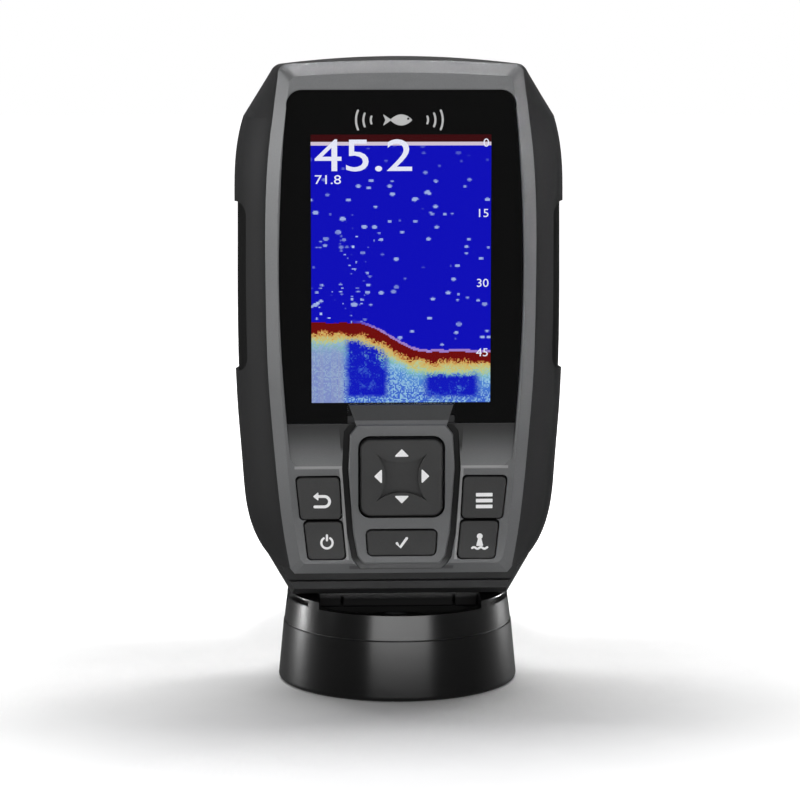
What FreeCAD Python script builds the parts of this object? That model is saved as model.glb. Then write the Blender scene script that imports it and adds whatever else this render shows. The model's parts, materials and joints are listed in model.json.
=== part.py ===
import FreeCAD, Part
import math
import os

# Fish finder on a tilt and swivel stand. Millimetres.
# Origin: centre of the stand's underside. +Z up, the screen faces -Y, +X to the viewer's right.

V = FreeCAD.Vector
UP = V(0, 0, 1)
BACKWARDS = V(0, 1, 0)
SIDEWAYS = V(1, 0, 0)

# Stand, from the ground up
BASE_R_LOW = 34.3
BASE_R_TOP = 32.8
BASE_TOP_Z = 16.7
BASE_EDGE_R = 1.2
BASE_WALL = 2.6
BASE_FLOOR = 3.0
SCREW_CIRCLE_R = 22.0
SCREW_HOLE_R = 2.3
GLIDE_T = 0.4
SPINDLE_R = 8.0
SPINDLE_TOP_Z = 14.0
SPINDLE_PILOT_R = 1.65
SPINDLE_PILOT_Z = 7.0
SWIVEL_CLEAR = 0.06
STOP_R = 20.0
STOP_HALF = 2.0
STOP_TOP_Z = 12.4
STOP_LUG_T = 3.4
SWIVEL_LIMIT_DEG = 90.0
PLATFORM_R_LOW = 32.6
PLATFORM_R_TOP = 31.6
DRUM_R = 29.4
DRUM_BOTTOM_Z = 13.4
WELL_R = 27.0
WELL_FLOOR_Z = 16.0
WELL_STEP_Z = 18.6
HUB_R = 13.6
HUB_BOTTOM_Z = 8.0
RIM_TOP_Z = 23.9
RIM_WALL = 2.4
CHEEK_TOP_Z = 26.3
CHEEK_INNER_X = 22.8
CHEEK_EDGE_R = 0.7
NOTCH_LOW_Z = 24.0
NOTCH_HIGH_Z = 25.7
NOTCH_DEPTH = 2.2
NOTCH_FRONT_Y = -18.5
NOTCH_REAR_Y = -4.5
WASHER_R = 11.0
WASHER_T = 0.8
SCREW_SHANK_R = 1.6
SCREW_HEAD_R = 4.0
SCREW_HEAD_T = 1.4

# Tilt hinge
HINGE_Y = -1.0
HINGE_Z = 24.4
HINGE_R = 4.0
HINGE_HALF = 22.4
HINGE_FLAT_Y = -5.2
HINGE_FLAT_LOW_Z = 21.0
HINGE_FLAT_HIGH_Z = 26.4
KNUCKLE_X = 15.6
KNUCKLE_GAP = 0.9
CHEEK_BOSS_R = 4.3
BOLT_R = 2.0
BOLT_CLEAR = 0.04
BOLT_HEAD_R = 3.2
BOLT_HEAD_T = 2.0
BOLT_SEAT_X = 28.8
BOLT_TAIL = 2.2
NUT_FLAT = 2.8
SOCKET_FLAT = 1.4

# Display head: half outline, bottom to top, as x and z
FACE_OUTLINE = [
    (29.6, 36.4), (31.0, 38.0), (32.0, 43.0), (33.8, 56.5), (35.3, 73.0), (36.5, 89.0),
    (37.15, 115.0), (37.0, 138.0), (36.3, 150.0), (35.0, 161.0),
    (33.4, 173.2), (32.7, 175.0), (31.0, 175.8), (0.0, 176.8),
]
WIDE_OUTLINE = [
    (30.3, 26.65), (37.3, 38.5), (40.4, 43.4), (42.9, 51.5), (44.1, 63.6), (45.3, 80.0),
    (46.0, 104.0), (45.8, 138.0), (45.2, 152.0), (43.2, 161.4),
    (35.4, 173.8), (34.4, 175.0), (32.8, 175.7), (0.0, 177.85),
]
REAR_OUTLINE = [
    (22.0, 37.0), (28.5, 45.0), (31.0, 49.0), (33.2, 56.0), (34.6, 66.0), (35.6, 80.0),
    (36.3, 104.0), (35.9, 135.0), (34.8, 149.0), (32.4, 158.5),
    (26.5, 166.5), (25.4, 167.6), (24.0, 168.2), (0.0, 169.4),
]
FACE_BOTTOM_Z = 35.2
JOINT_Y = -25.6
LIP_Y = -19.5
WIDE_Y = -12.0
SHOULDER_Y = -3.0
FLANK_Y = 6.0
REAR_Y = 12.0
CHIN_Y = -22.0
CHIN_TOP_Z = 31.9
CHIN_BOTTOM_Z = 29.9
CHIN_GAP_Y = -19.5
CHIN_SEAT_Z = 36.4
HEAD_BOTTOM_Z = 26.65
SLOPE_START_Y = -6.0
SLOPE_DEG = 35.0
HOUSING_WALL = 2.2
GRIP_DEPTH = 0.9
GRIP_LOW_Z = 90.85
GRIP_HIGH_Z = 137.95
GRIP_FRONT_Y = -19.5
GRIP_REAR_Y = 1.0

# Front: depths of its levels
BEZEL_BACK_Y = -26.0
BEVEL_START_Y = -26.9
CREST_Y = -29.8
BEVEL_WIDTH = 3.3
TONGUE_Y = -24.4
ISLAND_Y = -30.5
GROOVE_Y = -27.9
GROOVE_WIDTH = 1.7
GLASS_FRONT_Y = -27.9
GLASS_BACK_Y = -26.4
SEAT_Y = -26.1

# Window and display
WINDOW_OUTLINE = [
    (27.9, 65.4), (30.7, 67.6), (32.5, 89.0), (33.5, 112.0), (33.0, 141.0), (31.9, 158.0),
    (31.3, 164.0), (30.2, 167.6), (27.0, 168.95),
]
GLASS_BOTTOM_Z = 77.3
MODULE_HALF = 26.0
MODULE_LOW_Z = 79.6
MODULE_HIGH_Z = 160.3
MODULE_CLEAR = 0.3
LCD_FRONT_Y = -26.3
LCD_BACK_Y = -25.1
TRAY_BACK_Y = -22.3
FLEX_HALF = 10.0
FLEX_T = 0.3
FLEX_LOW_Z = 77.1
NOSE_HALF = 14.6
NOSE_TOP_Z = 82.5

# Keypad: outlines on the right-hand side, as x and z
ISLAND_HALF = [(10.6, 38.4), (12.2, 40.6), (13.4, 47.0), (14.7, 65.0), (14.2, 74.6), (12.0, 77.4)]
UPPER_KEY = [(16.6, 51.05), (27.9, 51.05), (29.1, 62.8), (17.2, 62.9)]
LOWER_KEY = [(15.5, 39.8), (25.8, 39.8), (27.0, 50.45), (16.5, 50.45)]
KEY_TOP_Y = -30.55
KEY_FLANGE_Y = -25.9
KEY_FLANGE_T = 0.8
KEY_FLANGE_OUT = 0.6
KEY_GAP = 0.32
KEY_CORNER_R = 1.3
SELECT_HALF = 9.8
SELECT_LOW_Z = 40.9
SELECT_HIGH_Z = 48.0
SELECT_TOP_Y = -31.15
DPAD_HALF_X = 11.45
DPAD_HALF_Z = 10.9
DPAD_MID_Z = 62.8
DPAD_TOP_Y = -31.7
DPAD_FLANGE_Y = -24.9
DPAD_FLANGE_T = 0.7
DPAD_GAP = 0.55
DPAD_CORNER_R = 3.0
DPAD_PIVOT_R = 1.8

# Inside the head
MAT_FRONT_Y = -23.0
MAT_T = 1.0
DOME_R = 2.2
DOME_TOP_Y = -23.9
DPAD_DOME_TOP_Y = -23.55
BOARD_FRONT_Y = -21.6
BOARD_T = 1.6
BOARD_HALF = 30.0
BOARD_SCREWS = [(28.2, 84.0), (28.2, 156.0)]
CASE_SCREWS = [(30.0, 69.0), (32.3, 118.0), (29.6, 163.2)]
CASE_BOSS_END_Y = -20.0
CASE_SEAT_Y = -18.4

# Rear connector
PLUG_Z = 85.0
PLUG_R = 7.5
PLUG_BORE_R = 6.0
PLUG_END_Y = 18.0
PLUG_FLANGE_R = 10.0
PLUG_FRONT_Y = 7.4
PLUG_FLANGE_Y = 9.4
PIN_CIRCLE_R = 2.8
PIN_R = 0.6
VENT_Z = 148.0
VENT_R = 3.0
VENT_DEPTH = 0.8

# Cradle and its latch
PLATE_FRONT_Y = 12.3
PLATE_BACK_Y = 15.3
PLATE_GAP = 0.15
PLATE_BOTTOM_Z = 46.0
PLATE_TOP_Z = 118.0
PLATE_HALF = 21.7
DOVETAIL = 2.1
RAIL_OUTER_X = 24.6
RAIL_LOW_Z = 50.0
RAIL_HIGH_Z = 102.0
RAIL_CLEAR = 0.3
RIB_X = 11.0
RIB_TOP_Z = 66.0
ARM_T = 3.6
ARM_HALF = 19.2
WINDOW_HALF_X = 15.5
WINDOW_HALF_Z = 17.0
LATCH_Y = 19.4
LATCH_Z = 113.0
LATCH_PIN_R = 1.0
LATCH_HALF = 8.0
LATCH_TOP_Z = 127.0
KEEPER_TOP_Z = 123.8


# ---- small helpers -------------------------------------------------------------------------------

def box(x, y, z):
    """Box between two limits on each axis."""
    size = (x[1] - x[0], y[1] - y[0], z[1] - z[0])
    return Part.makeBox(size[0], size[1], size[2], V(x[0], y[0], z[0]))


def rod_y(x, z, r, y0, y1):
    """Round bar along Y."""
    return Part.makeCylinder(r, y1 - y0, V(x, y0, z), BACKWARDS)


def rod_x(y, z, r, x0, x1):
    """Round bar along X."""
    return Part.makeCylinder(r, x1 - x0, V(x0, y, z), SIDEWAYS)


def rod_z(x, y, r, z0, z1):
    """Upright round bar."""
    return Part.makeCylinder(r, z1 - z0, V(x, y, z0), UP)


def mirrored(shape):
    """The same shape on the other side of the centre plane."""
    return shape.mirror(V(0, 0, 0), SIDEWAYS)


def both_sides(shape):
    return [shape, mirrored(shape)]


def fuse(first, *others):
    return first.multiFuse(list(others)).removeSplitter()


def cut(first, *others):
    for other in others:
        first = first.cut(other)
    return first


def polygon(points):
    """Closed straight-sided wire through 3-D points."""
    return Part.makePolygon(list(points) + [points[0]])


def prism_y(corners, y0, y1):
    """Plate with straight-sided outline, given as x and z, from depth y0 to y1."""
    face = Part.Face(polygon([V(x, y0, z) for x, z in corners]))
    return face.extrude(V(0, y1 - y0, 0))


def prism_x(corners, x0, x1):
    """Bar with a profile given as y and z, from x0 to x1."""
    face = Part.Face(polygon([V(x0, y, z) for y, z in corners]))
    return face.extrude(V(x1 - x0, 0, 0))


def edges_along(shape, direction):
    """Straight edges that run along a direction."""
    found = []
    for edge in shape.Edges:
        if edge.Curve.TypeId == "Part::GeomLine" and abs(edge.Curve.Direction.dot(direction)) > 0.999:
            found.append(edge)
    return found


def edges_at_y(shape, y):
    """Edges that lie in the plane of one depth."""
    found = []
    for edge in shape.Edges:
        limits = edge.BoundBox
        if abs(limits.YMin - y) < 0.01 and abs(limits.YMax - y) < 0.01:
            found.append(edge)
    return found


def round_corners(shape, r):
    """Round the edges that run front to back."""
    return shape.makeFillet(r, edges_along(shape, BACKWARDS))


def grown(corners, out):
    """Straight-sided outline moved outwards by a distance."""
    count = len(corners)
    moved = []
    for i in range(count):
        before, here, after = corners[i - 1], corners[i], corners[(i + 1) % count]
        first = unit(here[0] - before[0], here[1] - before[1])
        second = unit(after[0] - here[0], after[1] - here[1])
        turn = 1 + first[0] * second[0] + first[1] * second[1]
        moved.append((
            here[0] + out * (first[1] + second[1]) / turn,
            here[1] - out * (first[0] + second[0]) / turn,
        ))
    return moved


def unit(a, b):
    length = math.hypot(a, b)
    return a / length, b / length


def closed_half(points):
    """Whole outline from its right-hand half, anticlockwise seen with x right and z up."""
    return points + [(-x, z) for x, z in reversed(points)]


def slope_z(y, below=0.0):
    """Height of the head's sloping underside at depth y, or of a plane a distance below it."""
    angle = math.radians(SLOPE_DEG)
    return HEAD_BOTTOM_Z + (y - SLOPE_START_Y) * math.tan(angle) - below / math.cos(angle)


# ---- outlines of the head ------------------------------------------------------------------------

def mix(first, second, share):
    """Outline part of the way from one to another."""
    return [
        (a[0] + (b[0] - a[0]) * share, a[1] + (b[1] - a[1]) * share) for a, b in zip(first, second)
    ]


def inset(outline, by):
    """Outline drawn in by about the same distance all round."""
    half_width = max(x for x, z in outline)
    low, high = outline[0][1], outline[-1][1]
    middle, half_height = (low + high) / 2, (high - low) / 2
    across, along = 1 - by / half_width, 1 - by / half_height
    return [(x * across, middle + (z - middle) * along) for x, z in outline]


def spline(points):
    curve = Part.BSplineCurve()
    curve.interpolate(points)
    return curve.toShape()


def ring(outline, y):
    """Closed wire of a head outline at depth y: long sides are splines, corners and top are arcs."""
    right = [V(x, y, z) for x, z in outline]
    left = [V(-x, y, z) for x, z in outline]
    edges = [
        Part.makeLine(left[0], right[0]),
        Part.makeLine(right[0], right[1]),
        spline(right[1:10]),
        Part.makeLine(right[9], right[10]),
        Part.Arc(right[10], right[11], right[12]).toShape(),
        Part.Arc(right[12], right[13], left[12]).toShape(),
        Part.Arc(left[12], left[11], left[10]).toShape(),
        Part.makeLine(left[10], left[9]),
        spline(left[9:0:-1]),
        Part.makeLine(left[1], left[0]),
    ]
    return Part.Wire(edges)


def head_solid(by, rear_y):
    """Body of the head drawn in by a distance, with its chin and its sloping underside cut."""
    face = list(FACE_OUTLINE)
    face[0] = (face[0][0] + 0.5, CHIN_BOTTOM_Z)
    lip = mix(FACE_OUTLINE, WIDE_OUTLINE, 0.62)
    lip[0] = (lip[0][0], 28.7)
    lip[1] = (lip[1][0], 38.4)
    shoulder = mix(WIDE_OUTLINE, REAR_OUTLINE, 0.18)
    flank = mix(WIDE_OUTLINE, REAR_OUTLINE, 0.55)
    sections = [
        ring(inset(face, by), JOINT_Y),
        ring(inset(lip, by), LIP_Y),
        ring(inset(WIDE_OUTLINE, by), WIDE_Y),
        ring(inset(shoulder, by), SHOULDER_Y),
        ring(inset(flank, by), FLANK_Y),
        ring(inset(REAR_OUTLINE, by), rear_y),
    ]
    solid = Part.makeLoft(sections, True, False)
    return cut(solid, underside_wedge(by), *chin_cuts(by))


def underside_wedge(by):
    """Everything under the sloping underside, or under a plane a distance inside it."""
    front, back, below = SLOPE_START_Y - 20.0, 60.0, -40.0
    corners = [(front, slope_z(front, -by)), (front, below), (back, below), (back, slope_z(back, -by))]
    return prism_x(corners, -60.0, 60.0)


def chin_cuts(by):
    """Space in front of the chin and the gap above it, or the same space with a wall left round it."""
    across = (-60.0, 60.0)
    if by:
        return [box(across, (-60.0, CHIN_GAP_Y + by), (0.0, CHIN_SEAT_Z + by - 0.2))]
    front = box(across, (-60.0, CHIN_Y), (0.0, CHIN_SEAT_Z))
    gap = box(across, (-60.0, CHIN_GAP_Y), (CHIN_TOP_Z, CHIN_SEAT_Z))
    return [front, gap]


def window_wire(y, by):
    """Outline of the recess round the window, drawn in by a distance."""
    right = [V(x - by, y, z) for x, z in WINDOW_OUTLINE]
    right[0].z += by
    for point in right[6:]:
        point.z -= by
    left = [V(-p.x, p.y, p.z) for p in right]
    edges = [
        Part.makeLine(left[0], right[0]),
        Part.makeLine(right[0], right[1]),
        spline(right[1:7]),
        Part.Arc(right[6], right[7], right[8]).toShape(),
        Part.makeLine(right[8], left[8]),
        Part.Arc(left[8], left[7], left[6]).toShape(),
        spline(left[6:0:-1]),
        Part.makeLine(left[1], left[0]),
    ]
    return Part.Wire(edges)


def window_solid(low_z, y0, y1, by=0.0):
    """Plate with the window's outline, cut off below a height."""
    plate = Part.Face(window_wire(y0, by)).extrude(V(0, y1 - y0, 0))
    return plate.cut(box((-40, 40), (y0 - 1, y1 + 1), (60, low_z + by)))


# ---- stand ---------------------------------------------------------------------------------------

def swivel_base():
    edge = BASE_EDGE_R
    rise = edge * (1 - math.sqrt(0.5))
    profile = Part.Wire([
        Part.makeLine(V(0, 0, 0), V(BASE_R_LOW - edge, 0, 0)),
        Part.Arc(V(BASE_R_LOW - edge, 0, 0), V(BASE_R_LOW - rise, 0, rise), V(BASE_R_LOW, 0, edge)).toShape(),
        Part.makeLine(V(BASE_R_LOW, 0, edge), V(BASE_R_TOP, 0, BASE_TOP_Z)),
        Part.makeLine(V(BASE_R_TOP, 0, BASE_TOP_Z), V(BASE_R_TOP - BASE_WALL, 0, BASE_TOP_Z)),
        Part.makeLine(V(BASE_R_TOP - BASE_WALL, 0, BASE_TOP_Z), V(BASE_R_LOW - BASE_WALL, 0, BASE_FLOOR)),
        Part.makeLine(V(BASE_R_LOW - BASE_WALL, 0, BASE_FLOOR), V(0, 0, BASE_FLOOR)),
        Part.makeLine(V(0, 0, BASE_FLOOR), V(0, 0, 0)),
    ])
    cup = Part.Face(profile).revolve(V(0, 0, 0), UP, 360)
    spindle = rod_z(0, 0, SPINDLE_R, BASE_FLOOR, SPINDLE_TOP_Z)
    stop = box((-STOP_HALF, STOP_HALF), (STOP_R - STOP_HALF, STOP_R + STOP_HALF), (BASE_FLOOR, STOP_TOP_Z))
    base = fuse(cup, spindle, stop)
    base = cut(base, rod_z(0, 0, SPINDLE_PILOT_R, SPINDLE_PILOT_Z, SPINDLE_TOP_Z))
    for turn in range(4):
        angle = math.radians(45 + 90 * turn)
        x, y = SCREW_CIRCLE_R * math.cos(angle), SCREW_CIRCLE_R * math.sin(angle)
        base = cut(base, rod_z(x, y, SCREW_HOLE_R, -1.0, BASE_FLOOR + 1.0))
    return base


def swivel_glide_ring():
    outer = BASE_R_TOP - 0.6
    inner = BASE_R_TOP - BASE_WALL + 0.2
    return cut(rod_z(0, 0, outer, BASE_TOP_Z, BASE_TOP_Z + GLIDE_T), rod_z(0, 0, inner, 16.0, 18.0))


def swivel_platform():
    low = BASE_TOP_Z + GLIDE_T
    disc = Part.makeCone(PLATFORM_R_LOW, PLATFORM_R_TOP, CHEEK_TOP_Z - low, V(0, 0, low))
    disc = disc.makeFillet(CHEEK_EDGE_R, level_edges(disc, CHEEK_TOP_Z))
    drum = rod_z(0, 0, DRUM_R, DRUM_BOTTOM_Z, low + 1.0)
    hub = rod_z(0, 0, HUB_R, HUB_BOTTOM_Z, DRUM_BOTTOM_Z + 1.0)
    stops = [stop_lug(side) for side in (-1, 1)]
    boss = rod_x(HINGE_Y, HINGE_Z, CHEEK_BOSS_R, CHEEK_INNER_X, 40)
    boss = boss.common(rod_z(0, 0, PLATFORM_R_TOP - 0.3, 0, 40))

    saddle = (-CHEEK_INNER_X, CHEEK_INNER_X)
    bowl = rod_z(0, 0, PLATFORM_R_TOP - RIM_WALL, WELL_STEP_Z, 40).common(box(saddle, (-50, 50), (0, 40)))
    well = rod_z(0, 0, WELL_R, WELL_FLOOR_Z, WELL_STEP_Z + 1).common(box(saddle, (-50, 50), (0, 40)))
    above_rim = box(saddle, (-50, 50), (RIM_TOP_Z, 40))
    platform = cut(fuse(disc, drum, hub, *stops), bowl, well, above_rim)
    platform = fuse(platform, *both_sides(boss))

    bolt_hole = rod_x(HINGE_Y, HINGE_Z, BOLT_R + BOLT_CLEAR, 20, 40)
    bolt_seat = rod_x(HINGE_Y, HINGE_Z, BOLT_HEAD_R + 0.3, BOLT_SEAT_X, 40)
    notch = box((CHEEK_INNER_X + 1.5, 40), (NOTCH_FRONT_Y, NOTCH_REAR_Y), (NOTCH_LOW_Z, NOTCH_HIGH_Z))
    notch = notch.cut(rod_z(0, 0, PLATFORM_R_TOP - NOTCH_DEPTH, 0, 40))
    for feature in (bolt_hole, bolt_seat, notch):
        platform = cut(platform, *both_sides(feature))
    spindle_hole = rod_z(0, 0, SPINDLE_R + SWIVEL_CLEAR, 0, 40)
    washer_well = rod_z(0, 0, WASHER_R + 0.4, SPINDLE_TOP_Z - 0.05, 40)
    return cut(platform, spindle_hole, washer_well)


def level_edges(shape, z):
    """Edges that lie level at a height."""
    return [e for e in shape.Edges if abs(e.BoundBox.ZMin - z) < 0.01 and abs(e.BoundBox.ZMax - z) < 0.01]


def stop_lug(side):
    """Lug under the platform that meets the base's stop at the end of the swivel."""
    half_angle = math.degrees(math.atan(STOP_HALF / (STOP_R - STOP_HALF)))
    radial = (STOP_R - STOP_HALF, STOP_R + STOP_HALF)
    lug = box((-STOP_HALF, STOP_HALF), radial, (STOP_TOP_Z - STOP_LUG_T, DRUM_BOTTOM_Z + 1))
    lug.rotate(V(0, 0, 0), UP, side * (SWIVEL_LIMIT_DEG + 2 * half_angle + 0.6))
    return lug


def swivel_washer():
    disc = rod_z(0, 0, WASHER_R, SPINDLE_TOP_Z, SPINDLE_TOP_Z + WASHER_T)
    return cut(disc, rod_z(0, 0, SCREW_SHANK_R + 0.5, 0, 40))


def swivel_screw():
    seat = SPINDLE_TOP_Z + WASHER_T
    top = seat + SCREW_HEAD_T
    head = rod_z(0, 0, SCREW_HEAD_R, seat, top)
    head = head.makeFillet(0.6, level_edges(head, top))
    long, short = (-2.0, 2.0), (-0.35, 0.35)
    deep = (top - 0.8, top + 1.0)
    shank = rod_z(0, 0, SCREW_SHANK_R, SPINDLE_PILOT_Z + 0.5, seat)
    return cut(fuse(head, shank), box(long, short, deep), box(short, long, deep))


# ---- tilt hinge ----------------------------------------------------------------------------------

def tilt_bolt():
    shank = rod_x(HINGE_Y, HINGE_Z, BOLT_R, -BOLT_SEAT_X - BOLT_TAIL, BOLT_SEAT_X)
    head = rod_x(HINGE_Y, HINGE_Z, BOLT_HEAD_R, BOLT_SEAT_X, BOLT_SEAT_X + BOLT_HEAD_T)
    return cut(fuse(shank, head), hexagon(SOCKET_FLAT, BOLT_SEAT_X + 0.9, BOLT_SEAT_X + BOLT_HEAD_T + 1.0))


def hexagon(flat, x0, x1):
    """Six-sided bar along X on the hinge axis."""
    r = flat / math.cos(math.radians(30))
    corners = []
    for turn in range(6):
        angle = math.radians(60 * turn)
        corners.append((HINGE_Y + r * math.cos(angle), HINGE_Z + r * math.sin(angle)))
    return prism_x(corners, x0, x1)


def tilt_nut():
    nut = hexagon(NUT_FLAT, -BOLT_SEAT_X - BOLT_HEAD_T, -BOLT_SEAT_X)
    return nut.cut(rod_x(HINGE_Y, HINGE_Z, BOLT_R + 0.02, -40, 0))


def tilt_washers():
    gap = CHEEK_INNER_X - HINGE_HALF
    disc = rod_x(HINGE_Y, HINGE_Z, 3.8, HINGE_HALF + 0.05, HINGE_HALF + gap)
    washer = disc.cut(rod_x(HINGE_Y, HINGE_Z, BOLT_R + 0.05, 0, 40))
    return Part.makeCompound(both_sides(washer))


def tilt_cradle():
    barrel = rod_x(HINGE_Y, HINGE_Z, HINGE_R, -HINGE_HALF, HINGE_HALF)
    front = box((-HINGE_HALF, HINGE_HALF), (HINGE_FLAT_Y, HINGE_Y), (HINGE_FLAT_LOW_Z, HINGE_FLAT_HIGH_Z))
    front = front.makeFillet(0.5, [e for e in edges_at_y(front, HINGE_FLAT_Y) if e.Length > HINGE_HALF])
    arm = prism_x([
        (HINGE_Y - 1.5, slope_z(HINGE_Y - 1.5, PLATE_GAP)),
        (HINGE_Y - 1.0, HINGE_Z),
        (HINGE_Y + 2.0, HINGE_Z),
        (PLATE_BACK_Y, slope_z(PLATE_BACK_Y, ARM_T)),
        (PLATE_BACK_Y, PLATE_BOTTOM_Z),
        (PLATE_FRONT_Y, PLATE_BOTTOM_Z),
        (PLATE_FRONT_Y, slope_z(PLATE_FRONT_Y, PLATE_GAP)),
    ], -ARM_HALF, ARM_HALF)
    plate = cut(cradle_plate(), plug_window())
    ribs = [
        box((x - 0.9, x + 0.9), (PLATE_BACK_Y - 0.5, PLATE_BACK_Y + 1.6), (PLATE_BOTTOM_Z + 0.5, RIB_TOP_Z))
        for x in (-RIB_X, 0, RIB_X)
    ]
    cradle = fuse(barrel, front, arm, plate, *both_sides(latch_ear()), *ribs)
    bolt_hole = rod_x(HINGE_Y, HINGE_Z, BOLT_R + BOLT_CLEAR, -40, 40)
    pin_hole = rod_x(LATCH_Y, LATCH_Z, LATCH_PIN_R + 0.02, -20, 20)
    return cut(cradle, bolt_hole, pin_hole, *both_sides(knuckle_groove()))


def cradle_plate():
    """Upright plate whose edges are undercut for the rails."""
    back_half = PLATE_HALF - DOVETAIL
    face = Part.Face(polygon([
        V(-PLATE_HALF, PLATE_FRONT_Y, PLATE_BOTTOM_Z), V(PLATE_HALF, PLATE_FRONT_Y, PLATE_BOTTOM_Z),
        V(back_half, PLATE_BACK_Y, PLATE_BOTTOM_Z), V(-back_half, PLATE_BACK_Y, PLATE_BOTTOM_Z),
    ]))
    return face.extrude(V(0, 0, PLATE_TOP_Z - PLATE_BOTTOM_Z))


def plug_window():
    """Opening in the plate for the cable's plug."""
    height = (PLUG_Z - WINDOW_HALF_Z, PLUG_Z + WINDOW_HALF_Z)
    return round_corners(box((-WINDOW_HALF_X, WINDOW_HALF_X), (0, 30), height), 3.0)


def latch_ear():
    """Ear on the plate that holds one end of the latch's pin."""
    across = (LATCH_HALF + 0.3, LATCH_HALF + 2.8)
    ear = box(across, (PLATE_BACK_Y, LATCH_Y), (LATCH_Z - 4, LATCH_Z + 2))
    return fuse(ear, rod_x(LATCH_Y, LATCH_Z, 2.0, *across))


def knuckle_groove():
    """Groove in the front of the hinge barrel that sets off its end knuckle."""
    across = (KNUCKLE_X, KNUCKLE_X + KNUCKLE_GAP)
    groove = box(across, (HINGE_FLAT_Y - 1, HINGE_Y), (HINGE_Z - 6, HINGE_Z + 6))
    return groove.cut(rod_x(HINGE_Y, HINGE_Z, HINGE_R - 0.9, 0, 40))


# ---- quick-release latch -------------------------------------------------------------------------

def release_latch():
    lever = prism_x([
        (LATCH_Y - 1.2, LATCH_Z - 9.0), (LATCH_Y + 1.2, LATCH_Z - 9.0),
        (LATCH_Y + 1.2, LATCH_TOP_Z), (13.4, LATCH_TOP_Z), (13.4, LATCH_TOP_Z - 1.6),
        (14.6, KEEPER_TOP_Z + 0.25), (LATCH_Y - 1.2, KEEPER_TOP_Z + 0.25),
    ], -LATCH_HALF, LATCH_HALF)
    lever = fuse(lever, rod_x(LATCH_Y, LATCH_Z, 2.1, -LATCH_HALF, LATCH_HALF))
    slot = box((-2.6, 2.6), (0, 40), (LATCH_Z - 5.5, LATCH_Z + 2.6))
    lever = cut(lever, slot, rod_x(LATCH_Y, LATCH_Z, LATCH_PIN_R + 0.04, -20, 20))
    grips = [rod_x(LATCH_Y + 1.45, LATCH_Z - 8.0 + 1.3 * step, 0.4, -6.5, 6.5) for step in range(2)]
    return cut(lever, *grips)


def latch_pin():
    half = LATCH_HALF + 3.0
    return rod_x(LATCH_Y, LATCH_Z, LATCH_PIN_R, -half, half)


def latch_spring():
    coil = rod_x(LATCH_Y, LATCH_Z, 1.9, -2.0, 2.0).cut(rod_x(LATCH_Y, LATCH_Z, 1.2, -3, 3))
    leg = rod_z(1.6, LATCH_Y - 1.6, 0.3, LATCH_Z - 5.0, LATCH_Z)
    return fuse(coil, leg)


# ---- head shells ---------------------------------------------------------------------------------

def rear_housing():
    outer = head_solid(0.0, REAR_Y)
    cavity = head_solid(HOUSING_WALL, REAR_Y - HOUSING_WALL)
    shell = outer.cut(cavity)
    skin = outer.cut(head_solid(GRIP_DEPTH, REAR_Y))
    grip = box((20, 60), (GRIP_FRONT_Y, GRIP_REAR_Y), (GRIP_LOW_Z, GRIP_HIGH_Z))
    grip = grip.makeFillet(4.0, edges_along(grip, SIDEWAYS))
    for side in both_sides(grip):
        shell = shell.cut(skin.common(side))
    for x, z in CASE_SCREWS:
        column = rod_y(x, z, 3.0, CASE_BOSS_END_Y + 0.1, REAR_Y).common(outer)
        hole = fuse(rod_y(x, z, 1.1, -30, 20), rod_y(x, z, 2.3, CASE_SEAT_Y, 20))
        for side in (1, -1):
            if side < 0:
                column = mirrored(column)
                hole = mirrored(hole)
            shell = shell.fuse(column).cut(hole)
    rail = cradle_rail()
    keeper = box((-7, 7), (REAR_Y - 0.5, 15.2), (KEEPER_TOP_Z - 4.3, KEEPER_TOP_Z))
    shell = fuse(shell, *both_sides(rail), keeper)
    shell = shell.cut(rod_y(0, PLUG_Z, PLUG_R + 0.1, 0, 20))
    vent = fuse(rod_y(0, VENT_Z, VENT_R + 0.1, REAR_Y - VENT_DEPTH, 20), rod_y(0, VENT_Z, 1.0, 0, 20))
    return shell.cut(vent)


def cradle_rail():
    """Undercut rail that holds the cradle's plate."""
    inner = PLATE_HALF + RAIL_CLEAR
    root_y = REAR_Y - 0.5
    profile = polygon([
        V(inner + 0.2, root_y, RAIL_LOW_Z),
        V(RAIL_OUTER_X, root_y, RAIL_LOW_Z),
        V(RAIL_OUTER_X, PLATE_BACK_Y, RAIL_LOW_Z),
        V(inner - DOVETAIL, PLATE_BACK_Y, RAIL_LOW_Z),
        V(inner, PLATE_FRONT_Y, RAIL_LOW_Z),
    ])
    return Part.Face(profile).extrude(V(0, 0, RAIL_HIGH_Z - RAIL_LOW_Z))


def housing_gasket():
    outer = Part.Face(ring(inset(FACE_OUTLINE, 0.9), BEZEL_BACK_Y))
    inner = Part.Face(ring(inset(FACE_OUTLINE, 2.1), BEZEL_BACK_Y))
    return outer.cut(inner).extrude(V(0, JOINT_Y - BEZEL_BACK_Y, 0))


def bezel_outline():
    """Front outline, which overhangs the housing's at the bottom."""
    outline = list(FACE_OUTLINE)
    outline[0] = (29.6, FACE_BOTTOM_Z)
    outline[1] = (30.8, 36.6)
    return outline


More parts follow.
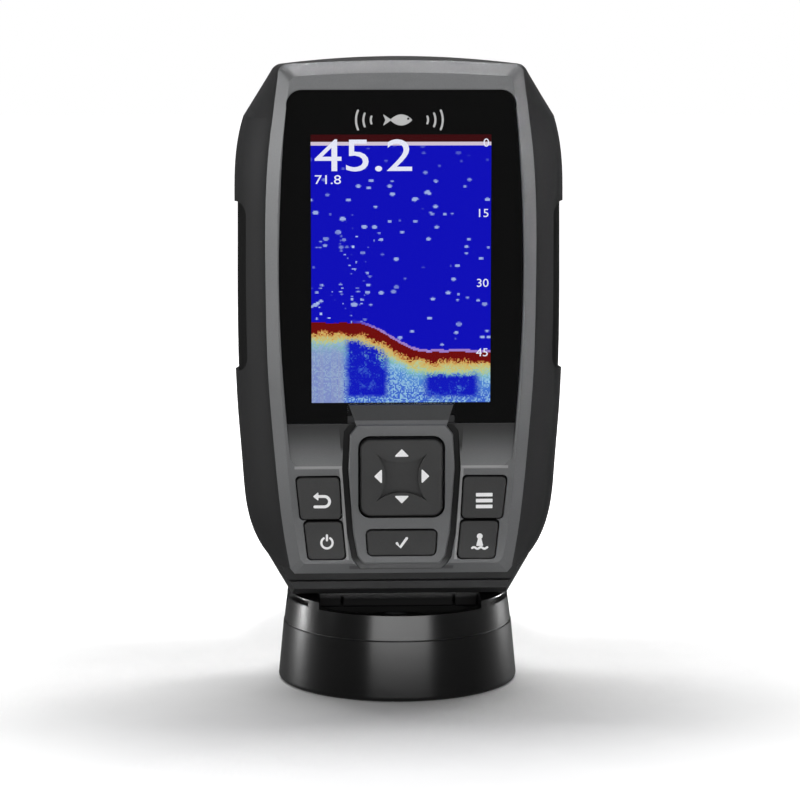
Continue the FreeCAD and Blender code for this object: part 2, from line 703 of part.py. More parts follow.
def front_bezel():
    outline = bezel_outline()
    crest = inset(outline, BEVEL_WIDTH)
    body = Part.makeLoft([ring(outline, BEZEL_BACK_Y), ring(outline, BEVEL_START_Y)], True, True)
    bevel = Part.makeLoft([ring(outline, BEVEL_START_Y), ring(crest, CREST_Y)], True, True)
    tongue = Part.Face(ring(inset(FACE_OUTLINE, 3.0), BEZEL_BACK_Y)).extrude(V(0, TONGUE_Y - BEZEL_BACK_Y, 0))
    bezel = fuse(body, bevel, tongue)

    recess = window_solid(WINDOW_OUTLINE[0][1], CREST_Y - 1, GLASS_FRONT_Y)
    ramp = prism_x([
        (CREST_Y, WINDOW_OUTLINE[0][1] - 0.01), (GLASS_FRONT_Y, GLASS_BOTTOM_Z), (-20, GLASS_BOTTOM_Z),
        (-20, WINDOW_OUTLINE[0][1] - 0.01),
    ], -40, 40)
    bezel = bezel.cut(recess.cut(ramp))
    bezel = bezel.cut(window_solid(GLASS_BOTTOM_Z, GLASS_FRONT_Y - 0.5, SEAT_Y))
    opening_half = MODULE_HALF + MODULE_CLEAR
    bezel = bezel.cut(box((-opening_half, opening_half), (-30, -20),
                          (MODULE_LOW_Z - MODULE_CLEAR, MODULE_HIGH_Z + MODULE_CLEAR)))

    groove = prism_y(grown(closed_half(ISLAND_HALF), GROOVE_WIDTH), -32, GROOVE_Y)
    island = prism_y(closed_half(ISLAND_HALF), ISLAND_Y, BEZEL_BACK_Y)
    island = island.makeFillet(0.6, edges_at_y(island, ISLAND_Y))
    nose = prism_x([
        (SEAT_Y, 77.0), (SEAT_Y, 79.2), (-26.5, 79.3), (-26.5, NOSE_TOP_Z),
        (GLASS_FRONT_Y, NOSE_TOP_Z), (ISLAND_Y + 0.3, 77.2), (ISLAND_Y + 0.3, 77.0),
    ], -NOSE_HALF, NOSE_HALF)
    nose = nose.common(prism_y([(-12.4, 76.9), (12.4, 76.9), (14.6, 83), (-14.6, 83)], -40, 0))
    bezel = fuse(bezel.cut(groove), island, nose)

    for wide, high in ((30.4, (37.9, 66.4)), (14.2, (66.0, 76.4))):
        bezel = bezel.cut(box((-wide, wide), (BEZEL_BACK_Y, -20), high))
    for corners in (UPPER_KEY, LOWER_KEY):
        hole = round_corners(prism_y(grown(corners, KEY_GAP), -40, -20), KEY_CORNER_R)
        for side in both_sides(hole):
            bezel = bezel.cut(side)
    select_hole = round_corners(prism_y(grown(select_corners(), KEY_GAP), -40, -20), KEY_CORNER_R + 0.4)
    dpad_hole = round_corners(prism_y(grown(dpad_corners(), DPAD_GAP), -40, -20), DPAD_CORNER_R + 0.4)
    bezel = cut(bezel, select_hole, dpad_hole)

    for x, z in BOARD_SCREWS:
        boss = rod_y(x, z, 1.7, TONGUE_Y - 0.2, BOARD_FRONT_Y).cut(rod_y(x, z, 0.83, -24.0, -20))
        bezel = fuse(bezel, *both_sides(boss))
    for x, z in CASE_SCREWS:
        boss = rod_y(x, z, 1.9, TONGUE_Y - 0.2, CASE_BOSS_END_Y).cut(rod_y(x, z, 1.03, -25.2, -20))
        pilot = rod_y(x, z, 1.03, -25.2, -20)
        bezel = fuse(bezel, *both_sides(boss))
        bezel = cut(bezel, *both_sides(pilot))
    return bezel


def select_corners():
    return [
        (-SELECT_HALF + 0.5, SELECT_LOW_Z), (SELECT_HALF - 0.5, SELECT_LOW_Z),
        (SELECT_HALF, SELECT_HIGH_Z), (-SELECT_HALF, SELECT_HIGH_Z),
    ]


def dpad_corners():
    low, high = DPAD_MID_Z - DPAD_HALF_Z, DPAD_MID_Z + DPAD_HALF_Z
    return [(-DPAD_HALF_X, low), (DPAD_HALF_X, low), (DPAD_HALF_X, high), (-DPAD_HALF_X, high)]


def lens_window():
    glass = window_solid(GLASS_BOTTOM_Z, GLASS_FRONT_Y, GLASS_BACK_Y, 0.1)
    return glass.cut(lens_notch())


def lens_notch():
    """Room for the keypad's nose."""
    half = NOSE_HALF + 0.2
    return box((-half, half), (-30, -20), (70, NOSE_TOP_Z + 0.2))


def lens_gasket():
    frame = window_solid(GLASS_BOTTOM_Z, GLASS_BACK_Y, SEAT_Y, 0.8)
    half = MODULE_HALF + 0.8
    return cut(frame, box((-half, half), (-30, -20), (MODULE_LOW_Z - 0.4, MODULE_HIGH_Z + 0.8)), lens_notch())


# ---- display -------------------------------------------------------------------------------------

def lcd_panel():
    return box((-MODULE_HALF, MODULE_HALF), (LCD_FRONT_Y, LCD_BACK_Y), (MODULE_LOW_Z, MODULE_HIGH_Z))


def lcd_backlight():
    tray = box((-MODULE_HALF, MODULE_HALF), (LCD_BACK_Y, TRAY_BACK_Y), (MODULE_LOW_Z, MODULE_HIGH_Z))
    return round_corners(tray, 1.0)


def display_flex():
    wide = (-FLEX_HALF, FLEX_HALF)
    front, back = -24.3, -19.3
    tail = box(wide, (front, front + FLEX_T), (FLEX_LOW_Z, MODULE_LOW_Z))
    across = box(wide, (front, back), (FLEX_LOW_Z, FLEX_LOW_Z + FLEX_T))
    up = box(wide, (back - FLEX_T, back), (FLEX_LOW_Z, 90.0))
    return fuse(tail, across, up)


# ---- keys ----------------------------------------------------------------------------------------

def key(corners, top_y, flange_corners):
    """Key cap with softened edges, and the flange that keeps it behind the bezel."""
    cap = round_corners(prism_y(corners, top_y, KEY_FLANGE_Y), KEY_CORNER_R)
    cap = cap.makeFillet(0.45, edges_at_y(cap, top_y))
    flange = prism_y(flange_corners, KEY_FLANGE_Y, KEY_FLANGE_Y + KEY_FLANGE_T)
    return fuse(cap, flange)


def side_flange(corners):
    """Flange that is wider than its key, and no taller, so that it clears the key beside it."""
    middle = sum(x for x, z in corners) / len(corners)
    return [(x + math.copysign(KEY_FLANGE_OUT, x - middle), z) for x, z in corners]


def key_menu():
    return key(UPPER_KEY, KEY_TOP_Y, side_flange(UPPER_KEY))


def key_waypoint():
    return key(LOWER_KEY, KEY_TOP_Y, side_flange(LOWER_KEY))


def key_back():
    return mirrored(key_menu())


def key_power():
    return mirrored(key_waypoint())


def key_select():
    return key(select_corners(), SELECT_TOP_Y, grown(select_corners(), KEY_FLANGE_OUT))


def key_dpad():
    cap = round_corners(prism_y(dpad_corners(), DPAD_TOP_Y, DPAD_FLANGE_Y), DPAD_CORNER_R)
    cap = cap.makeFillet(0.9, edges_at_y(cap, DPAD_TOP_Y))
    flange = prism_y(grown(dpad_corners(), KEY_FLANGE_OUT), DPAD_FLANGE_Y, DPAD_FLANGE_Y + DPAD_FLANGE_T)
    flange = round_corners(flange, DPAD_CORNER_R)
    dish_corner_x, dish_corner_z = 7.0, 6.6
    waist_x, waist_z = 4.5, 4.1
    dish_depth = 1.1
    corners = [V(-dish_corner_x, 0, -dish_corner_z), V(dish_corner_x, 0, -dish_corner_z),
               V(dish_corner_x, 0, dish_corner_z), V(-dish_corner_x, 0, dish_corner_z)]
    waists = [V(0, 0, -waist_z), V(waist_x, 0, 0), V(0, 0, waist_z), V(-waist_x, 0, 0)]
    place = V(0, DPAD_TOP_Y - 1.0, DPAD_MID_Z)
    sides = []
    for i in range(4):
        sides.append(Part.Arc(corners[i] + place, waists[i] + place, corners[(i + 1) % 4] + place).toShape())
    dish = Part.Face(Part.Wire(sides)).extrude(V(0, 1.0 + dish_depth, 0))
    socket = rod_y(0, DPAD_MID_Z, DPAD_PIVOT_R + 0.4, -27.2, -20)
    return cut(fuse(cap, flange), dish, socket)


def dpad_pivot():
    nub = rod_y(0, DPAD_MID_Z, DPAD_PIVOT_R, -26.9, MAT_FRONT_Y - 0.2)
    return nub.makeFillet(0.8, edges_at_y(nub, -26.9))


def key_spots():
    """Where each key presses: x, z and the height of the dome that it meets."""
    reach = 7.0
    spots = [(0.0, 44.4, DOME_TOP_Y)]
    for side in (-1, 1):
        spots.append((side * 22.7, 57.0, DOME_TOP_Y))
        spots.append((side * 21.3, 45.2, DOME_TOP_Y))
        spots.append((side * reach, DPAD_MID_Z, DPAD_DOME_TOP_Y))
        spots.append((0.0, DPAD_MID_Z + side * reach, DPAD_DOME_TOP_Y))
    return spots


def keypad_mat():
    back = MAT_FRONT_Y + MAT_T
    sheet = box((-26.8, 26.8), (MAT_FRONT_Y, back), (38.6, 65.6))
    top = box((-13.0, 13.0), (MAT_FRONT_Y, back), (65.6, 75.6))
    domes = [rod_y(x, z, DOME_R, y, MAT_FRONT_Y) for x, z, y in key_spots()]
    return fuse(sheet, top, *domes)


def dome_switches():
    discs = [rod_y(x, z, 2.5, MAT_FRONT_Y + MAT_T, BOARD_FRONT_Y) for x, z, y in key_spots()]
    return Part.makeCompound(discs)


# ---- electronics ---------------------------------------------------------------------------------

def main_board():
    low, step = 27.4, 26.6
    outline = closed_half([(22.0, 38.6), (low, 48.0), (low, 76.0), (BOARD_HALF, 78.0), (BOARD_HALF, 158.0),
                           (step, 160.0), (step, 168.0)])
    board = prism_y(outline, BOARD_FRONT_Y, BOARD_FRONT_Y + BOARD_T)
    board = board.cut(box((-10.4, 10.4), (-30, -10), (76.8, 77.7)))
    for x, z in BOARD_SCREWS:
        board = cut(board, *both_sides(rod_y(x, z, 0.95, -30, -10)))
    return board


def board_screws():
    seat = BOARD_FRONT_Y + BOARD_T
    screws = []
    for x, z in BOARD_SCREWS:
        screw = fuse(rod_y(x, z, 0.8, -23.8, seat), rod_y(x, z, 1.6, seat, seat + 1.1))
        screws += both_sides(screw)
    return Part.makeCompound(screws)


def housing_screws():
    screws = []
    for x, z in CASE_SCREWS:
        head = rod_y(x, z, 2.1, CASE_SEAT_Y, CASE_SEAT_Y + 1.5)
        head = head.cut(rod_y(x, z, 0.9, CASE_SEAT_Y + 0.7, 0))
        screws += both_sides(fuse(rod_y(x, z, 1.0, -25.0, CASE_SEAT_Y), head))
    return Part.makeCompound(screws)


def on_board(x, z, deep):
    """Block soldered to the back of the board."""
    seat = BOARD_FRONT_Y + BOARD_T
    return box(x, (seat, seat + deep), z)


def sonar_shield():
    return on_board((-22.0, 4.0), (104.0, 136.0), 3.5)


def gps_antenna():
    return on_board((-9.0, 9.0), (144.0, 162.0), 4.0)


def buzzer():
    seat = BOARD_FRONT_Y + BOARD_T
    return rod_y(16.0, 62.0, 6.0, seat, seat + 4.5).cut(rod_y(16.0, 62.0, 1.0, seat + 3.5, 0))


def board_header():
    return on_board((-6.0, 6.0), (PLUG_Z + 7.0, PLUG_Z + 12.0), 3.0)


def connector_shell():
    body = rod_y(0, PLUG_Z, PLUG_R, PLUG_FRONT_Y, PLUG_END_Y)
    flange = rod_y(0, PLUG_Z, PLUG_FLANGE_R, PLUG_FRONT_Y, PLUG_FLANGE_Y)
    return fuse(body, flange).cut(rod_y(0, PLUG_Z, PLUG_BORE_R, 0, 30))


def connector_insert():
    disc = rod_y(0, PLUG_Z, PLUG_BORE_R, PLUG_FRONT_Y, PLUG_FRONT_Y + 3.0)
    return disc.cut(Part.makeCompound(pin_bars(0, 12)))


def pin_bars(y0, y1):
    bars = []
    for turn in range(4):
        angle = math.radians(45 + 90 * turn)
        x, z = PIN_CIRCLE_R * math.cos(angle), PLUG_Z + PIN_CIRCLE_R * math.sin(angle)
        bars.append(rod_y(x, z, PIN_R, y0, y1))
    return bars


def connector_pins():
    return Part.makeCompound(pin_bars(PLUG_FRONT_Y - 2.0, PLUG_FRONT_Y + 6.0))


def connector_nut():
    nut = rod_y(0, PLUG_Z, 9.8, REAR_Y, REAR_Y + 2.4)
    for turn in range(12):
        angle = math.radians(30 * turn)
        nut = nut.cut(rod_y(9.9 * math.cos(angle), PLUG_Z + 9.9 * math.sin(angle), 0.7, 0, 30))
    return nut.cut(rod_y(0, PLUG_Z, PLUG_R + 0.02, 0, 30))


def connector_seal():
    ring_y = (PLUG_FLANGE_Y, REAR_Y - HOUSING_WALL)
    return rod_y(0, PLUG_Z, PLUG_FLANGE_R - 0.4, *ring_y).cut(rod_y(0, PLUG_Z, PLUG_R + 0.3, 0, 30))


def vent_membrane():
    return rod_y(0, VENT_Z, VENT_R, REAR_Y - VENT_DEPTH, REAR_Y - 0.2)


PARTS = {
    "swivel_base": swivel_base,
    "swivel_glide_ring": swivel_glide_ring,
    "swivel_platform": swivel_platform,
    "swivel_washer": swivel_washer,
    "swivel_screw": swivel_screw,
    "tilt_bolt": tilt_bolt,
    "tilt_nut": tilt_nut,
    "tilt_washers": tilt_washers,
    "tilt_cradle": tilt_cradle,
    "release_latch": release_latch,
    "latch_pin": latch_pin,
    "latch_spring": latch_spring,
    "rear_housing": rear_housing,
    "housing_gasket": housing_gasket,
    "housing_screws": housing_screws,
    "front_bezel": front_bezel,
    "lens_window": lens_window,
    "lens_gasket": lens_gasket,
    "lcd_panel": lcd_panel,
    "lcd_backlight": lcd_backlight,
    "display_flex": display_flex,
    "key_dpad": key_dpad,
    "dpad_pivot": dpad_pivot,
    "key_select": key_select,
    "key_back": key_back,
    "key_power": key_power,
    "key_menu": key_menu,
    "key_waypoint": key_waypoint,
    "keypad_mat": keypad_mat,
    "dome_switches": dome_switches,
    "main_board": main_board,
    "board_screws": board_screws,
    "sonar_shield": sonar_shield,
    "gps_antenna": gps_antenna,
    "buzzer": buzzer,
    "board_header": board_header,
    "connector_shell": connector_shell,
    "connector_insert": connector_insert,
    "connector_pins": connector_pins,
    "connector_nut": connector_nut,
    "connector_seal": connector_seal,
    "vent_membrane": vent_membrane,
}

os.makedirs("parts", exist_ok=True)
for name, make in PARTS.items():
    shape = make()
    solids = shape.Solids
    print(f"{name}: {len(solids)} solids, {shape.Volume:.1f} mm3, valid {shape.isValid()}")
    shape.exportStep(f"parts/{name}.step")
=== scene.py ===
"""A fish finder on its tilt and swivel stand: materials, marks, screen picture, floor, lights, camera.

Everything is in metres in the CAD frame: origin under the stand, +Z up, the screen faces -Y.
"""

import json
import math

import bpy
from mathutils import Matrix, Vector


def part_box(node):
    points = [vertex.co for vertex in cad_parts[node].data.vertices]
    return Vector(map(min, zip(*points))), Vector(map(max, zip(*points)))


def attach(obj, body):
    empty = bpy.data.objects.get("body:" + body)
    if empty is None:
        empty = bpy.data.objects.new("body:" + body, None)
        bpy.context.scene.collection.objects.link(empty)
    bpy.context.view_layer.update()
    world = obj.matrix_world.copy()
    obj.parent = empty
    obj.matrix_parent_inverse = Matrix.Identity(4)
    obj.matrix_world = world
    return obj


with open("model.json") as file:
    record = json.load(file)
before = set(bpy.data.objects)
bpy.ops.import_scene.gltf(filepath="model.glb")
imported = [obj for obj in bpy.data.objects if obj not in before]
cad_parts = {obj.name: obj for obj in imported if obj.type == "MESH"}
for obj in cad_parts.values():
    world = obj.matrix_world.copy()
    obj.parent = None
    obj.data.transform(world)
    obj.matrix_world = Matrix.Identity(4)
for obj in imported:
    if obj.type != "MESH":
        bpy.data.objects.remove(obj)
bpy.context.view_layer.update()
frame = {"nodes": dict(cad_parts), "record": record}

MM = 0.001
NODES = frame["nodes"]
SCENE = bpy.context.scene


# ---- camera --------------------------------------------------------------------------------------

CAMERA_DISTANCE = 0.750
CAMERA_AZIMUTH = math.radians(-2.3)
CAMERA_ELEVATION = math.radians(7.65)
CAMERA_TARGET = Vector((0.0003, -0.012, 0.08175))
CAMERA_LENS = 119.8


def direction(azimuth, elevation):
    """Unit vector from the object towards a place round it; azimuth 0 is the front."""
    flat = math.cos(elevation)
    return Vector((math.sin(azimuth) * flat, -math.cos(azimuth) * flat, math.sin(elevation)))


def add_camera():
    data = bpy.data.cameras.new("camera")
    data.lens = CAMERA_LENS
    data.sensor_width = 36.0
    data.clip_start = 0.05
    data.clip_end = 20.0
    camera = bpy.data.objects.new("camera", data)
    back = direction(CAMERA_AZIMUTH, CAMERA_ELEVATION)
    camera.location = CAMERA_TARGET + back * CAMERA_DISTANCE
    camera.rotation_mode = "QUATERNION"
    camera.rotation_quaternion = (-back).to_track_quat("-Z", "Y")
    SCENE.collection.objects.link(camera)
    SCENE.camera = camera


add_camera()


# ---- node building -------------------------------------------------------------------------------

class Wire:
    """A number that flows through a material's nodes. Plain arithmetic adds Math nodes."""

    def __init__(self, tree, socket):
        self.tree = tree
        self.socket = socket

    def math(self, operation, *others):
        node = self.tree.nodes.new("ShaderNodeMath")
        node.operation = operation
        for slot, value in enumerate((self, *others)):
            if isinstance(value, Wire):
                self.tree.links.new(value.socket, node.inputs[slot])
            else:
                node.inputs[slot].default_value = value
        return Wire(self.tree, node.outputs[0])

    def __add__(self, other):
        return self.math("ADD", other)

    def __sub__(self, other):
        return self.math("SUBTRACT", other)

    def __mul__(self, other):
        return self.math("MULTIPLY", other)

    def __truediv__(self, other):
        return self.math("DIVIDE", other)

    def over(self, edge, soft=1e-4):
        """0 below an edge and 1 above it, with a soft step."""
        return self.spread(edge, 0.0, 1.0, soft)

    def spread(self, edge, low, high, soft):
        node = self.tree.nodes.new("ShaderNodeMapRange")
        node.interpolation_type = "SMOOTHSTEP"
        if isinstance(edge, Wire):
            start = (self - edge) + soft / 2
            self.tree.links.new(start.socket, node.inputs["Value"])
            node.inputs["From Min"].default_value = 0.0
            node.inputs["From Max"].default_value = soft
        else:
            self.tree.links.new(self.socket, node.inputs["Value"])
            node.inputs["From Min"].default_value = edge - soft / 2
            node.inputs["From Max"].default_value = edge + soft / 2
        node.inputs["To Min"].default_value = low
        node.inputs["To Max"].default_value = high
        return Wire(self.tree, node.outputs["Result"])

    def between(self, low, high, soft=1e-4):
        return self.over(low, soft) - self.over(high, soft)

    def mapped(self, low, high):
        """0 to 1 remapped to low to high."""
        return self * (high - low) + low

    def steps(self, count):
        """Rounded down to one of so many steps from 0 to 1."""
        return (self * count).math("FLOOR") / count


class Shader:
    """A Principled material whose pattern lies in the piece's own coordinates, in metres."""

    def __init__(self, name, **values):
        self.material = bpy.data.materials.new(name)
        self.material.use_nodes = True
        self.tree = self.material.node_tree
        self.surface = self.tree.nodes["Principled BSDF"]
        place = self.tree.nodes.new("ShaderNodeTexCoord")
        self.place = place.outputs["Object"]
        for key, value in values.items():
            socket = self.surface.inputs[key.replace("_", " ").title().replace("Ior", "IOR")]
            socket.default_value = value

    def stretched(self, stretch, place=None):
        node = self.tree.nodes.new("ShaderNodeMapping")
        node.inputs["Scale"].default_value = stretch
        self.tree.links.new(place or self.place, node.inputs["Vector"])
        return node.outputs["Vector"]

    def axes(self):
        node = self.tree.nodes.new("ShaderNodeSeparateXYZ")
        self.tree.links.new(self.place, node.inputs["Vector"])
        return [Wire(self.tree, node.outputs[i]) for i in range(3)]

    def point(self, x, y, z=0.0):
        node = self.tree.nodes.new("ShaderNodeCombineXYZ")
        for slot, value in enumerate((x, y, z)):
            if isinstance(value, Wire):
                self.tree.links.new(value.socket, node.inputs[slot])
            else:
                node.inputs[slot].default_value = value
        return node.outputs["Vector"]

    def noise(self, scale, detail=2.0, rough=0.5, stretch=None, place=None):
        node = self.tree.nodes.new("ShaderNodeTexNoise")
        node.inputs["Scale"].default_value = scale
        node.inputs["Detail"].default_value = detail
        node.inputs["Roughness"].default_value = rough
        source = place or self.place
        if stretch:
            source = self.stretched(stretch, source)
        self.tree.links.new(source, node.inputs["Vector"])
        return Wire(self.tree, node.outputs[0])

    def cells(self, scale, feature="F1", place=None, output="Distance"):
        node = self.tree.nodes.new("ShaderNodeTexVoronoi")
        node.feature = feature
        node.inputs["Scale"].default_value = scale
        self.tree.links.new(place or self.place, node.inputs["Vector"])
        return Wire(self.tree, node.outputs[output])

    def white(self, place):
        """Random number for each whole place."""
        node = self.tree.nodes.new("ShaderNodeTexWhiteNoise")
        self.tree.links.new(place, node.inputs["Vector"])
        return Wire(self.tree, node.outputs["Value"])

    def colours(self, share, stops, mode="LINEAR"):
        node = self.tree.nodes.new("ShaderNodeValToRGB")
        node.color_ramp.interpolation = mode
        elements = node.color_ramp.elements
        while len(elements) < len(stops):
            elements.new(0.5)
        for element, (at, colour) in zip(elements, stops):
            element.position = at
            element.color = (*colour, 1.0)
        self.tree.links.new(share.socket, node.inputs["Fac"])
        return node.outputs["Color"]

    def blend(self, share, first, second):
        node = self.tree.nodes.new("ShaderNodeMix")
        node.data_type = "RGBA"
        self.tree.links.new(share.socket, node.inputs["Factor"])
        for slot, value in (("A", first), ("B", second)):
            socket = [s for s in node.inputs if s.name == slot and s.type == "RGBA"][0]
            if isinstance(value, tuple):
                socket.default_value = (*value, 1.0)
            else:
                self.tree.links.new(value, socket)
        return [s for s in node.outputs if s.type == "RGBA"][0]

    def bumps(self, height, depth):
        """Normal from a height of 0 to 1 that stands for a depth in metres."""
        node = self.tree.nodes.new("ShaderNodeBump")
        node.inputs["Distance"].default_value = depth
        self.tree.links.new(height.socket, node.inputs["Height"])
        return node.outputs["Normal"]

    def feed(self, socket, source):
        output = source.socket if isinstance(source, Wire) else source
        self.tree.links.new(output, self.surface.inputs[socket])


def srgb(*values):
    """Linear colour from 0-255 display values."""
    scaled = [v / 255 for v in (values if len(values) == 3 else values * 3)]
    return tuple(v / 12.92 if v <= 0.04045 else ((v + 0.055) / 1.055) ** 2.4 for v in scaled)


# ---- materials -----------------------------------------------------------------------------------

def moulded_plastic(name, colour, rough, grain, depth):
    """Injection-moulded plastic: a fine spark-eroded grain, faint flow mottling and uneven gloss."""
    shader = Shader(name)
    flow = shader.noise(38.0, 3.0, 0.55, stretch=(1.0, 1.0, 0.35))
    fine = shader.noise(grain, 2.0, 0.6)
    dark = tuple(c * 0.82 for c in colour)
    light = tuple(c * 1.18 for c in colour)
    tone = flow * 0.65 + fine * 0.35
    shader.feed("Base Color", shader.colours(tone, [(0.25, dark), (0.75, light)]))
    shader.feed("Roughness", (flow * 0.5 + fine * 0.5).mapped(rough - 0.07, rough + 0.07))
    pits = shader.cells(grain * 0.6, "SMOOTH_F1")
    shader.feed("Normal", shader.bumps(pits * 0.5 + fine * 0.5, depth))
    return shader.material


def satin_paint(name, colour, rough):
    """Satin grey paint with a little metal flake, over slightly rippled plastic, with painted shade in the
    recesses and a painted highlight along the key panels' edges.
    """
    shader = Shader(name, metallic=0.25, specular_ior_level=0.5, coat_weight=0.12, coat_roughness=0.3)
    flake = shader.cells(5200.0)
    cloud = shader.noise(55.0, 3.0, 0.5)
    peel = shader.noise(900.0, 2.0, 0.5)
    tone = flake * 0.45 + cloud * 0.55
    dark = tuple(c * 0.86 for c in colour)
    light = tuple(c * 1.16 for c in colour)
    paint = shader.colours(tone, [(0.2, dark), (0.8, light)])
    painted_shade, painted_highlight = painted_recess_shade_and_highlight(shader)
    # Painted highlight along the key panels' edges, then near-black painted shade in the recesses, blended
    # over the paint.
    paint = shader.blend(painted_highlight, paint, srgb(158))
    paint = shader.blend(painted_shade, paint, srgb(7))
    shader.feed("Base Color", paint)
    shader.feed("Roughness", (cloud * 0.6 + peel * 0.4).mapped(rough - 0.06, rough + 0.06))
    shader.feed("Normal", shader.bumps(peel * 0.7 + flake * 0.3, 0.012 * MM))
    return shader.material


ISLAND_EDGE_Y = -29.65 * MM
PANEL_TOP_Z = 65.0 * MM
NOSE_LOW_Z = 77.25 * MM
NOSE_HIGH_Z = 83.0 * MM
GROOVE_LOW_Z = 36.6 * MM
KEY_TOP_Y = -30.55 * MM


def painted_recess_shade_and_highlight(shader):
    """Painted shade in the recesses and grooves of the bezel, and a painted highlight along the edges of the
    key panels.
    """
    x, y, z = shader.axes()
    across = x.math("ABSOLUTE")
    sunk = y.over(ISLAND_EDGE_Y, 0.1 * MM)
    inner = across.over(31.6 * MM, 0.2 * MM).mapped(1.0, 0.0) * sunk
    # Painted shade: the ramp under the window and the nose darken towards the glass.
    ramp = z.spread(71.2 * MM, 0.0, 0.95, 13.0 * MM) * z.over(NOSE_LOW_Z).mapped(1.0, 0.0)
    nose = z.between(NOSE_LOW_Z, NOSE_HIGH_Z) * 0.55
    recess = inner * z.over(PANEL_TOP_Z) * (ramp + nose)
    edge = across - (z * 0.0722 + 11.71 * MM)
    # Painted shade along the grooves beside the keypad island, lighter near their bottom.
    groove = edge.over(0.0, 0.1 * MM).mapped(1.0, 0.0) * z.between(GROOVE_LOW_Z, NOSE_LOW_Z)
    groove = groove * y.over(-29.1 * MM, 0.5 * MM) * z.spread(39.0 * MM, 0.45, 0.95, 2.0 * MM)
    # Painted highlight: a light line beside the grooves and along the top edge of the key panels.
    beside_groove = edge.between(0.0, 0.8 * MM) * z.between(39.5 * MM, PANEL_TOP_Z + 0.8 * MM)
    above_keys = z.between(PANEL_TOP_Z, PANEL_TOP_Z + 0.8 * MM) * across.between(16.4 * MM, 29.5 * MM)
    raised = sunk.mapped(1.0, 0.0)
    painted_highlight = (beside_groove.math("MAXIMUM", above_keys)) * raised * 0.7
    return recess.math("MAXIMUM", groove), painted_highlight


def key_plastic(name):
    """Soft-touch key caps, with painted shade down their sides and on the step of the direction pad's hollow.
    """
    shader = Shader(name, specular_ior_level=0.3)
    x, y, z = shader.axes()
    across = x.math("ABSOLUTE")
    in_pad = across.over(12.6 * MM).mapped(1.0, 0.0) * z.over(50.0 * MM)
    in_select = across.over(11.0 * MM).mapped(1.0, 0.0) * z.over(50.0 * MM).mapped(1.0, 0.0)
    depth = y + (in_pad * 1.15 * MM + in_select * 0.6 * MM) - KEY_TOP_Y
    floor = in_pad * depth.over(1.03 * MM, 0.08 * MM)
    # Painted shade: near black down the caps' sides and the hollow's step, but not on the hollow's floor.
    painted_side_shade = depth.over(0.16 * MM, 0.3 * MM) * floor.mapped(1.0, 0.0)
    bloom = shader.noise(60.0, 3.0, 0.55)
    fine = shader.noise(3000.0, 2.0, 0.6)
    cap = shader.colours(bloom * 0.6 + fine * 0.4, [(0.25, srgb(52)), (0.75, srgb(64))])
    shader.feed("Base Color", shader.blend(painted_side_shade * 0.9, cap, srgb(6)))
    shader.feed("Roughness", (bloom * 0.5 + fine * 0.5).mapped(0.46, 0.6))
    pits = shader.cells(1800.0, "SMOOTH_F1")
    shader.feed("Normal", shader.bumps(pits * 0.5 + fine * 0.5, 0.012 * MM))
    return shader.material


def housing_plastic(name):
    """Dark moulded housing with a soft-touch pad let into each flank."""
    shader = Shader(name, specular_ior_level=0.25)
    x, y, z = shader.axes()
    corner = 4.0 * MM
    dy = ((y + 9.25 * MM).math("ABSOLUTE") - (10.25 * MM - corner)).math("MAXIMUM", 0.0)
    dz = ((z - 114.4 * MM).math("ABSOLUTE") - (23.55 * MM - corner)).math("MAXIMUM", 0.0)
    outside = (dy * dy + dz * dz).math("SQRT").over(corner, 0.1 * MM)
    pad = outside.mapped(1.0, 0.0) * x.math("ABSOLUTE").over(34.0 * MM)
    flow = shader.noise(38.0, 3.0, 0.55, stretch=(1.0, 1.0, 0.35))
    fine = shader.noise(2300.0, 2.0, 0.6)
    shell = shader.colours(flow * 0.65 + fine * 0.35, [(0.25, srgb(34)), (0.75, srgb(44, 44, 45))])
    shader.feed("Base Color", shader.blend(pad, shell, srgb(15)))
    shader.feed("Roughness", (flow * 0.5 + fine * 0.5).mapped(0.38, 0.52) + pad * 0.18)
    pits = shader.cells(1400.0, "SMOOTH_F1")
    shader.feed("Normal", shader.bumps(pits * 0.5 + fine * 0.5, 0.02 * MM))
    return shader.material


def turned_metal(name, colour, rough):
    """Plated metal with fine drawn lines and a few dull patches."""
    shader = Shader(name, metallic=1.0)
    lines = shader.noise(2600.0, 3.0, 0.6, stretch=(0.12, 1.0, 1.0))
    patches = shader.noise(320.0, 3.0, 0.6)
    dark = tuple(c * 0.72 for c in colour)
    shader.feed("Base Color", shader.colours(patches, [(0.3, dark), (0.65, colour)]))
    shader.feed("Roughness", (lines * 0.5 + patches * 0.5).mapped(rough - 0.08, rough + 0.14))
    shader.feed("Normal", shader.bumps(lines, 0.01 * MM))
    return shader.material


def rubber(name, colour, rough=0.72):
    """Matt moulded rubber or silicone with a dusty bloom."""
    shader = Shader(name, specular_ior_level=0.35, sheen_weight=0.08, sheen_roughness=0.5)
    bloom = shader.noise(140.0, 4.0, 0.6)
    grain = shader.noise(3600.0, 2.0, 0.5)
    dark = tuple(c * 0.85 for c in colour)
    light = tuple(c * 1.2 for c in colour)
    shader.feed("Base Color", shader.colours(bloom * 0.6 + grain * 0.4, [(0.3, dark), (0.7, light)]))
    shader.feed("Roughness", bloom.mapped(rough - 0.06, rough + 0.08))
    shader.feed("Normal", shader.bumps(grain, 0.012 * MM))
    return shader.material


def clear_glass(name):
    """Clear cover glass with the faintest smears in its polish."""
    shader = Shader(name, transmission_weight=1.0, ior=1.49, base_color=(0.96, 0.97, 0.98, 1.0))
    smear = shader.noise(26.0, 4.0, 0.6, stretch=(1.0, 1.0, 0.3))
    shader.feed("Roughness", smear.spread(0.62, 0.012, 0.05, 0.35))
    return shader.material


